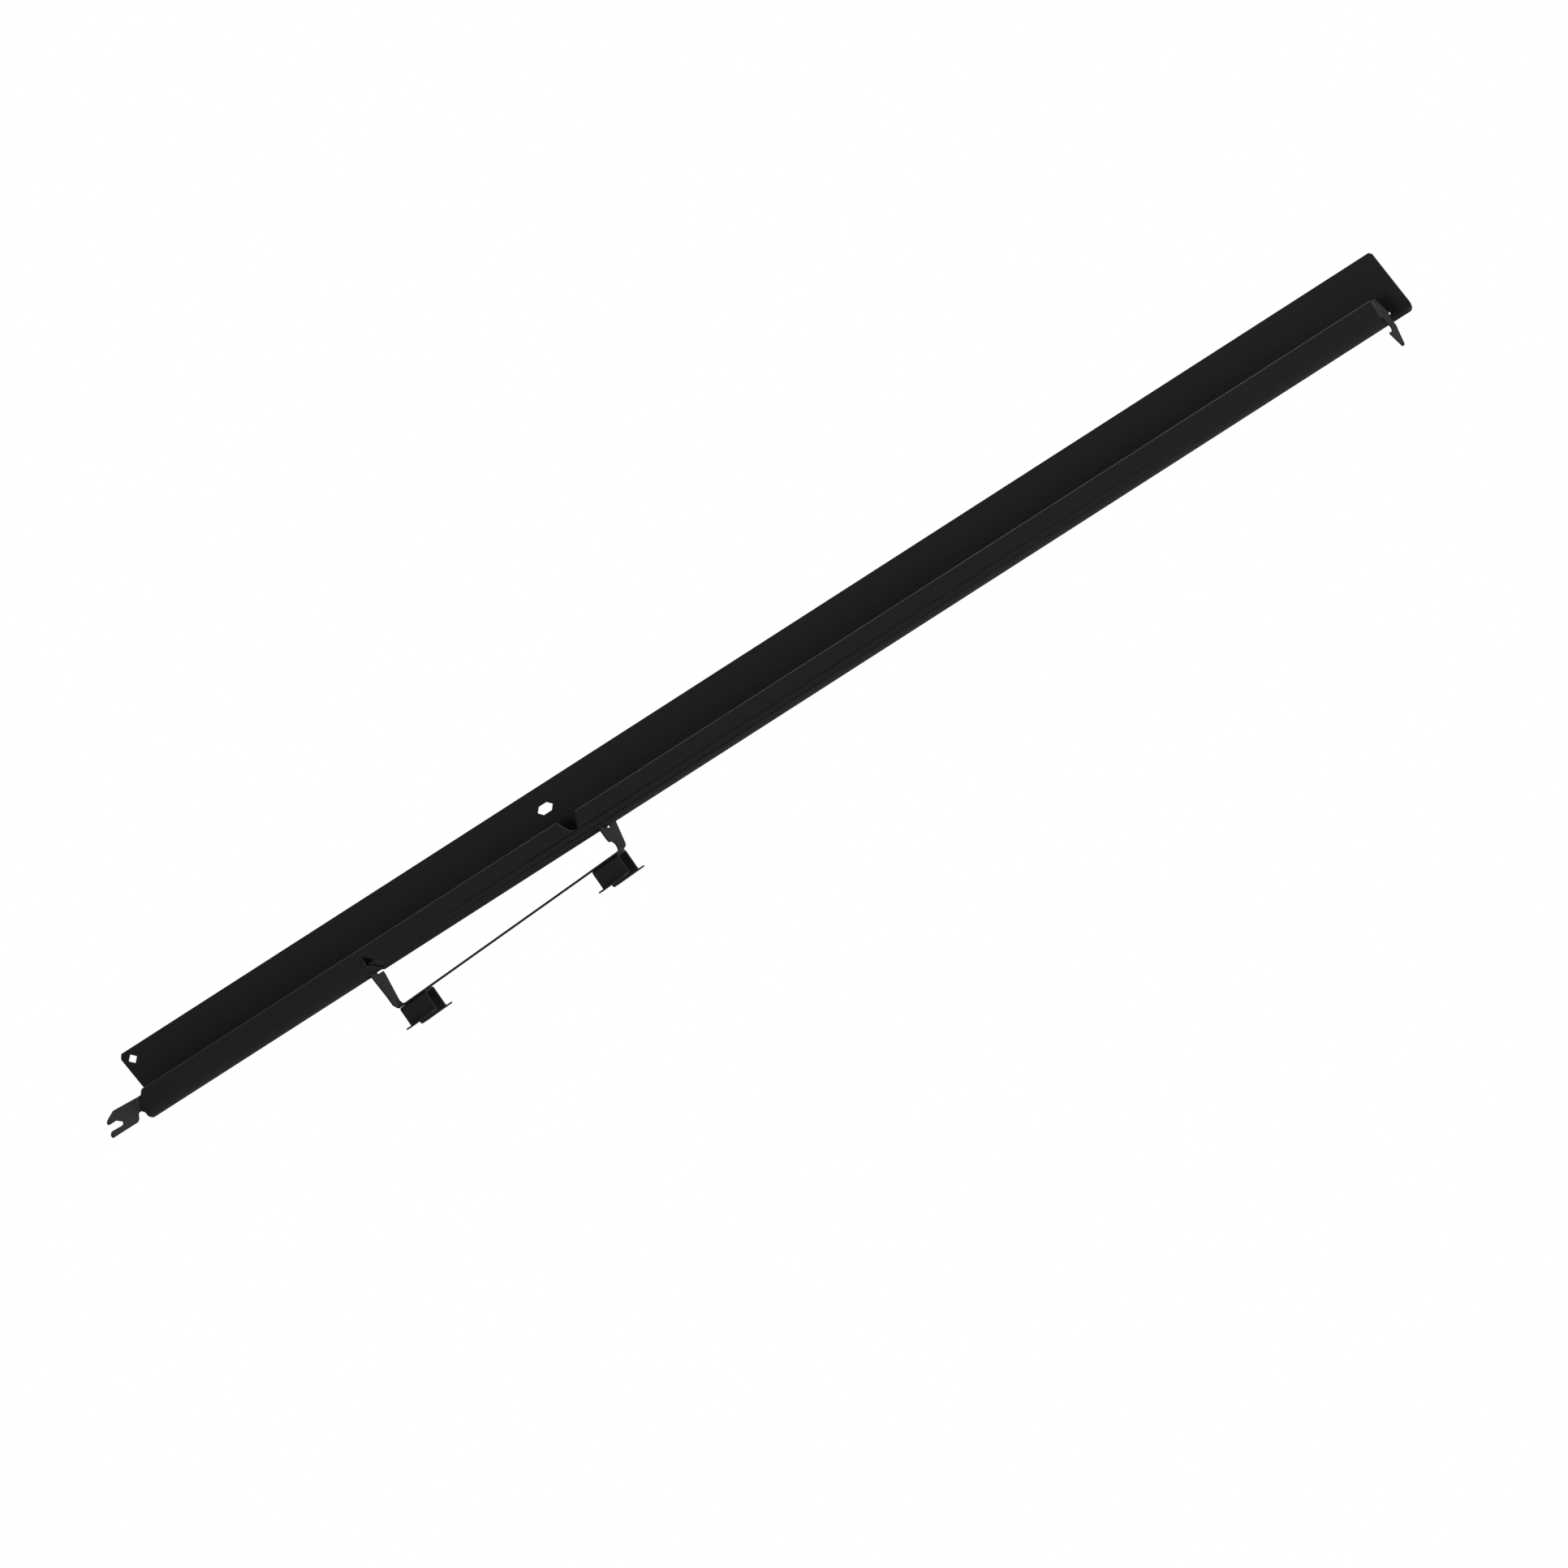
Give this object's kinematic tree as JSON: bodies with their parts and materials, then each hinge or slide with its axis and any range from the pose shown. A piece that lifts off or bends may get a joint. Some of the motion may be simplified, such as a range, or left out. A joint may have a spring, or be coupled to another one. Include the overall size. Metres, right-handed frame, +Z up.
{
  "type": "led strip batten",
  "caption": "Long folded sheet-steel trough carrying an LED strip channel, with a forked lug, a barbed hook and a bridge on hat-section shoes.",
  "frame": {"origin": "middle of the web's flat back face, half way along the rail and 24 mm above the underside of the trough", "axes": "+X along the batten from the forked end to the hooked end, +Y out of the web's back face towards what it is fixed to, +Z up towards the web's top edge"},
  "size_m": [1.0072, 0.0694, 0.0807],
  "materials": {
    "black_coat": "near-black satin powder coat",
    "black_anodise": "black anodised extrusion",
    "zinc_rivet": "blackened steel",
    "board_white": "white solder mask",
    "led_lens": "phosphor window in a white package",
    "resistor_body": "black chip with tinned ends",
    "opal_cover": "opal diffuser",
    "black_plastic": "moulded black plastic",
    "spring_steel": "bare spring steel",
    "foam_tape": "dark foam tape",
    "red_wire": "red wire insulation",
    "black_wire": "black wire insulation",
    "brass_pin": "bare brass"
  },
  "bodies": {
    "root": {"blank_end_cap": "black_plastic", "board_tape": "foam_tape", "bridge_bracket": "black_coat", "cable_end_cap": "black_plastic", "channel_clip_1": "spring_steel", "channel_clip_2": "spring_steel", "channel_clip_3": "spring_steel", "channel_clip_4": "spring_steel", "clip_pad_1": "foam_tape", "clip_pad_2": "foam_tape", "clip_pad_3": "foam_tape", "clip_pad_4": "foam_tape", "connector_housing": "black_plastic", "diffuser_cover": "opal_cover", "folded_rail": "black_coat", "led_board": "board_white", "led_channel": "black_anodise", "led_package_01": "led_lens", "led_package_02": "led_lens", "led_package_03": "led_lens", "led_package_04": "led_lens", "led_package_05": "led_lens", "led_package_06": "led_lens", "led_package_07": "led_lens", "led_package_08": "led_lens", "led_package_09": "led_lens", "led_package_10": "led_lens", "led_package_11": "led_lens", "led_package_12": "led_lens", "led_package_13": "led_lens", "led_package_14": "led_lens", "led_package_15": "led_lens", "led_package_16": "led_lens", "led_package_17": "led_lens", "led_package_18": "led_lens", "led_package_19": "led_lens", "led_package_20": "led_lens", "led_package_21": "led_lens", "led_package_22": "led_lens", "led_package_23": "led_lens", "led_package_24": "led_lens", "left_hat_shoe": "black_coat", "negative_lead": "black_wire", "negative_pin": "brass_pin", "positive_lead": "red_wire", "positive_pin": "brass_pin", "right_hat_shoe": "black_coat", "shoe_rivet_1": "zinc_rivet", "shoe_rivet_2": "zinc_rivet", "shoe_rivet_3": "zinc_rivet", "shoe_rivet_4": "zinc_rivet", "strip_resistor_1": "resistor_body", "strip_resistor_2": "resistor_body", "strip_resistor_3": "resistor_body", "strip_resistor_4": "resistor_body", "strip_resistor_5": "resistor_body", "strip_resistor_6": "resistor_body", "strip_resistor_7": "resistor_body", "strip_resistor_8": "resistor_body"}
  },
  "joints": []
}
